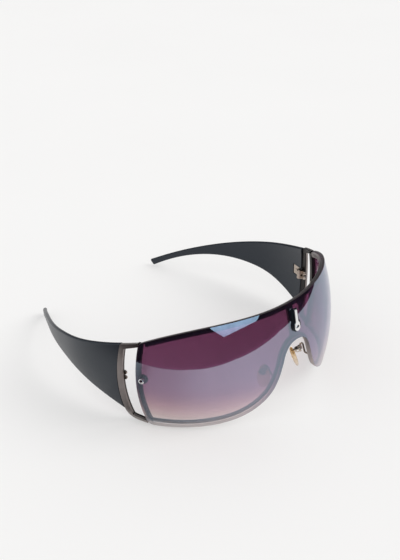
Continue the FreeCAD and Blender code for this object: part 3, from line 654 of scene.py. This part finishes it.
def pale_floor():
    """Pale floor that keeps the shadow, with a little of its own white where it is seen or mirrored."""
    reach = 3
    own_white_share = 0.4
    material, tree, place = new_material("pale_floor")
    shade = blended(tree, noise(tree, place, scale=6), (0.895, 0.89, 0.88), (0.915, 0.91, 0.90))
    matt = add(tree, "ShaderNodeBsdfPrincipled", {
        "Base Color": shade, "Roughness": 0.9, "Specular IOR Level": 0.2})
    white = add(tree, "ShaderNodeEmission", {"Color": shade, "Strength": 1.0})
    rays = add(tree, "ShaderNodeLightPath").outputs
    seen = total(tree, rays["Is Camera Ray"], rays["Is Glossy Ray"], rays["Is Transmission Ray"])
    own_white = product(tree, calc(tree, "MINIMUM", seen, 1), own_white_share)
    corners = [(-reach, -reach, 0), (reach, -reach, 0), (reach, reach, 0), (-reach, reach, 0)]
    staged("floor", corners, [(0, 1, 2, 3)], surfaced(material, mixed(tree, own_white, matt, white)))


def glowing(name, low, high, strength):
    """Uneven glow of a card, from one colour at its foot to another at its head."""
    foot_height, head_height = 0.050, 0.066
    material, tree, place = new_material(name)
    share = between(tree, parts_of(tree, place)["Z"], 0.0, 1.0, start=foot_height, end=head_height)
    clouds = noise(tree, place, scale=75, detail=4, roughness=0.6)
    return surfaced(material, add(tree, "ShaderNodeEmission", {
        "Color": blended(tree, share, low, high),
        "Strength": between(tree, clouds, strength * 0.6, strength * 1.4),
    }))


def dark_flag():
    """Black flag that stands round the front of the glasses, beyond the picture's lower edge."""
    tall, lean = 0.30, 1.25
    foot = [
        (-0.170, 0.060), (-0.158, -0.030), (-0.150, -0.060), (-0.138, -0.090), (-0.122, -0.120),
        (-0.106, -0.141), (-0.088, -0.164), (-0.066, -0.190), (-0.035, -0.214), (0.009, -0.243),
        (0.077, -0.275), (0.142, -0.270), (0.195, -0.231), (0.264, -0.169), (0.330, -0.080),
    ]
    count = len(foot)
    points = [(x, y, 0.0) for x, y in foot] + [(x * lean, y * lean, tall) for x, y in foot]
    faces = [(i, i + 1, count + i + 1, count + i) for i in range(count - 1)]
    black = glowing("black_flag", (0.034, 0.022, 0.031), (0.026, 0.018, 0.025), 1.0)
    mirrored_only(staged("dark_flag", points, faces, black))


def glint_card():
    """Cool bright card before the flag, which glints near the brow of the lens."""
    ahead = -0.135
    corners = [
        (-0.0896, 0.0636), (-0.0886, 0.0780), (-0.0107, 0.0780), (-0.0107, 0.0642), (-0.0136, 0.0618),
        (-0.0174, 0.0591), (-0.0293, 0.0579), (-0.0406, 0.0561), (-0.0524, 0.0535), (-0.0652, 0.0502),
        (-0.0772, 0.0569),
    ]
    points = [(across, ahead, height) for across, height in corners]
    cool = glowing("cool_glow", (0.50, 0.54, 0.68), (0.66, 0.88, 1.0), 2.1)
    mirrored_only(staged("glint_card", points, [tuple(range(len(points)))], cool))


def shade_card():
    """Card that lies round the front, grey at its left end and white before the bridge."""
    first_angle, last_angle, overlap, step_angle = -90, 60, 2, 2
    near_radius, far_radius, lift = 0.0725, 0.30, 0.0006
    middle = front_setback + wrap_radius
    cover_stops = [
        (-90, 0.25), (-84, 0.30), (-77, 0.90), (-71, 0.58), (-64, 0.50), (-58, 0.45), (-51, 0.28),
        (-45, 0.13), (-36, 0.0), (-32, 0.05), (-20, 0.60), (-13, 0.85), (0, 0.60), (20, 0.30), (40, 0.0),
    ]
    grey_stop, white_stop = (0.34, (0.16, 0.15, 0.155)), (0.39, (1.0, 1.0, 1.0))
    material, tree, place = new_material("shaded_card")
    spot = parts_of(tree, place)
    turn = calc(tree, "ARCTAN2", spot["X"], calc(tree, "SUBTRACT", middle, spot["Y"]))
    share = between(tree, turn, 0.0, 1.0, start=math.radians(first_angle), end=math.radians(last_angle))
    span = last_angle - first_angle
    cover = ramp(tree, share, [((angle - first_angle) / span, (level,) * 3) for angle, level in cover_stops])
    clear = add(tree, "ShaderNodeBsdfTransparent")
    glow = add(tree, "ShaderNodeEmission", {
        "Color": ramp(tree, share, [grey_stop, white_stop]), "Strength": 1.0})

    angles = range(first_angle - overlap, last_angle, step_angle)
    points = []
    for angle in map(math.radians, angles):
        for radius in (near_radius, far_radius):
            points.append((radius * math.sin(angle), middle - radius * math.cos(angle), lift))
    faces = [(2 * i, 2 * i + 1, 2 * i + 3, 2 * i + 2) for i in range(len(angles) - 1)]
    mirrored_only(staged("shade_card", points, faces, surfaced(material, mixed(tree, cover, clear, glow))))


def back_flag():
    """Dark flag high behind the glasses, which keeps their top edges dark."""
    middle = Vector((0.66, 0.75, 0.86))
    wide = Vector((0.75, -0.66, 0)) * 1.6
    tall = Vector((-0.2, -0.23, 0.3)) * 2.4
    points = [middle - wide - tall, middle + wide - tall, middle + wide + tall, middle - wide + tall]
    grey_glow = glowing("grey_flag", (0.045, 0.045, 0.050), (0.050, 0.050, 0.060), 1.0)
    mirrored_only(staged("back_flag", points, [(0, 1, 2, 3)], grey_glow))


def soft_light():
    """Plain white surround, and one broad key lamp from the front right."""
    world = bpy.data.worlds.new("studio")
    bpy.context.scene.world = world
    world.use_nodes = True
    surround = world.node_tree.nodes["Background"].inputs
    surround["Color"].default_value = (0.98, 0.985, 1.0, 1)
    surround["Strength"].default_value = 0.85
    lamp = bpy.data.lights.new("key", "SUN")
    lamp.energy = 1.15
    lamp.angle = math.radians(36)
    lamp.color = (1.0, 0.985, 0.96)
    key = placed("key", lamp)
    key.rotation_euler = Vector((-0.58, 0.62, -0.62)).to_track_quat("-Z", "Y").to_euler()
    key.visible_glossy = False


def camera():
    """Camera with a 50 mm lens that looks down on the left side of the front."""
    azimuth = math.radians(-41.51)
    elevation = math.radians(30.77)
    roll = math.radians(-2.24)
    target = Vector((-0.02439, -0.04145, 0.06995))
    distance = 0.38937
    back = Vector((
        math.sin(azimuth) * math.cos(elevation),
        -math.cos(azimuth) * math.cos(elevation),
        math.sin(elevation),
    ))
    level = Vector((math.cos(azimuth), math.sin(azimuth), 0))
    upright = back.cross(level)
    right = level * math.cos(roll) + upright * math.sin(roll)
    up = upright * math.cos(roll) - level * math.sin(roll)
    lens = bpy.data.cameras.new("camera")
    lens.lens = 50.0
    lens.sensor_fit = "VERTICAL"
    lens.sensor_height = 36.0
    lens.clip_start = 0.01
    made = placed("camera", lens)
    turned = Matrix((right, up, back)).transposed().to_4x4()
    made.matrix_world = Matrix.Translation(target + back * distance) @ turned
    bpy.context.scene.camera = made


pale_floor()
dark_flag()
back_flag()
shade_card()
glint_card()
soft_light()
camera()
bpy.context.scene.view_settings.view_transform = "Standard"
